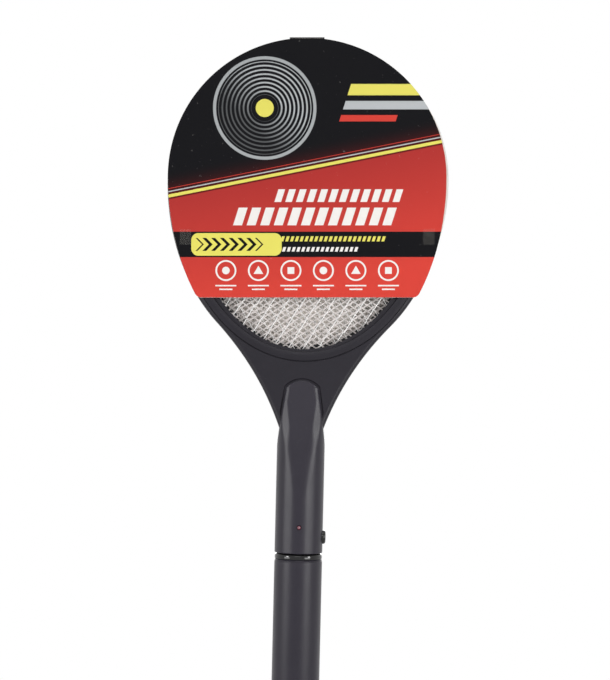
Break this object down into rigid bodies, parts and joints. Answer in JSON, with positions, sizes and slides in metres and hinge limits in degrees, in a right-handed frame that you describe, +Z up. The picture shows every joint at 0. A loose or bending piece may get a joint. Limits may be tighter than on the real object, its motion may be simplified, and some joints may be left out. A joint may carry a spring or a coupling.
{
  "type": "electric fly swatter",
  "caption": "Racket-shaped electric fly swatter with wire nets in an oval head, a round handle with a side button and a slide-off battery tube, in a card sleeve.",
  "frame": {"origin": "centre of the flat end of the handle", "axes": "+Z up the handle to the head, -Y out of the front face of the head, +X to the side with the push button"},
  "size_m": [0.2006, 0.0347, 0.5121],
  "materials": {
    "shell_plastic": "satin moulded black plastic",
    "ring_plastic": "satin moulded black plastic",
    "gloss_black": "polished black plastic",
    "frame_plastic": "plain black plastic",
    "net_steel": "bright drawn and expanded steel",
    "spring_steel": "plated steel",
    "board_green": "solder-mask green",
    "ferrite": "dull grey ferrite",
    "copper": "lacquered copper wire",
    "film_red": "dipped film capacitor red-brown",
    "part_black": "moulded black",
    "resistor_tan": "tan lacquer",
    "lamp_red": "clear red lens",
    "cell_jacket": "printed jacket",
    "wire_red": "red insulation",
    "wire_black": "black insulation",
    "card_print": "coated printed card",
    "card_grey": "bare grey-brown card",
    "clear_film": "clear adhesive film"
  },
  "bodies": {
    "racket": {"front_shell": "shell_plastic", "back_shell": "shell_plastic", "front_ring": "ring_plastic", "back_ring": "ring_plastic", "front_net": "net_steel", "middle_net": "net_steel", "back_net": "net_steel", "front_spacer": "frame_plastic", "back_spacer": "frame_plastic", "joint_collar": "gloss_black", "battery_carrier": "frame_plastic", "aa_cell_1": "cell_jacket", "aa_cell_2": "cell_jacket", "battery_spring": "spring_steel", "positive_contact": "spring_steel", "return_strip": "spring_steel", "circuit_board": "board_green", "transformer_core": "ferrite", "transformer_winding": "copper", "hv_capacitor_1": "film_red", "hv_capacitor_2": "film_red", "hv_capacitor_3": "film_red", "switching_transistor": "part_black", "rectifier_diode_1": "part_black", "rectifier_diode_2": "part_black", "rectifier_diode_3": "part_black", "rectifier_diode_4": "part_black", "resistor_1": "resistor_tan", "resistor_2": "resistor_tan", "resistor_3": "resistor_tan", "lamp": "lamp_red", "switch_body": "part_black", "shell_screw_1": "spring_steel", "shell_screw_2": "spring_steel", "shell_screw_3": "spring_steel", "front_net_lead": "wire_black", "middle_net_lead": "wire_red", "back_net_lead": "wire_black", "battery_lead_positive": "wire_red", "battery_lead_negative": "wire_black"},
    "power_button": {"button_cap": "gloss_black", "switch_plunger": "part_black"},
    "lower_handle": {"battery_tube": "shell_plastic"},
    "card_sleeve": {"sleeve_front_panel": "card_print", "sleeve_back_panel": "card_grey", "sleeve_top_fold": "card_print", "tape_seal_left": "clear_film", "tape_seal_right": "clear_film"}
  },
  "joints": [
    {"name": "button_press", "type": "slide", "parent": "racket", "child": "power_button", "axis": [-1, 0, 0], "range_m": [0, 0.0012], "stiffness_N_per_m": 600},
    {"name": "tube_pull", "type": "slide", "parent": "racket", "child": "lower_handle", "axis": [0, 0, -1], "range_m": [0, 0.125]},
    {"name": "sleeve_lift", "type": "slide", "parent": "racket", "child": "card_sleeve", "axis": [0, 0, 1], "range_m": [0, 0.235]}
  ]
}
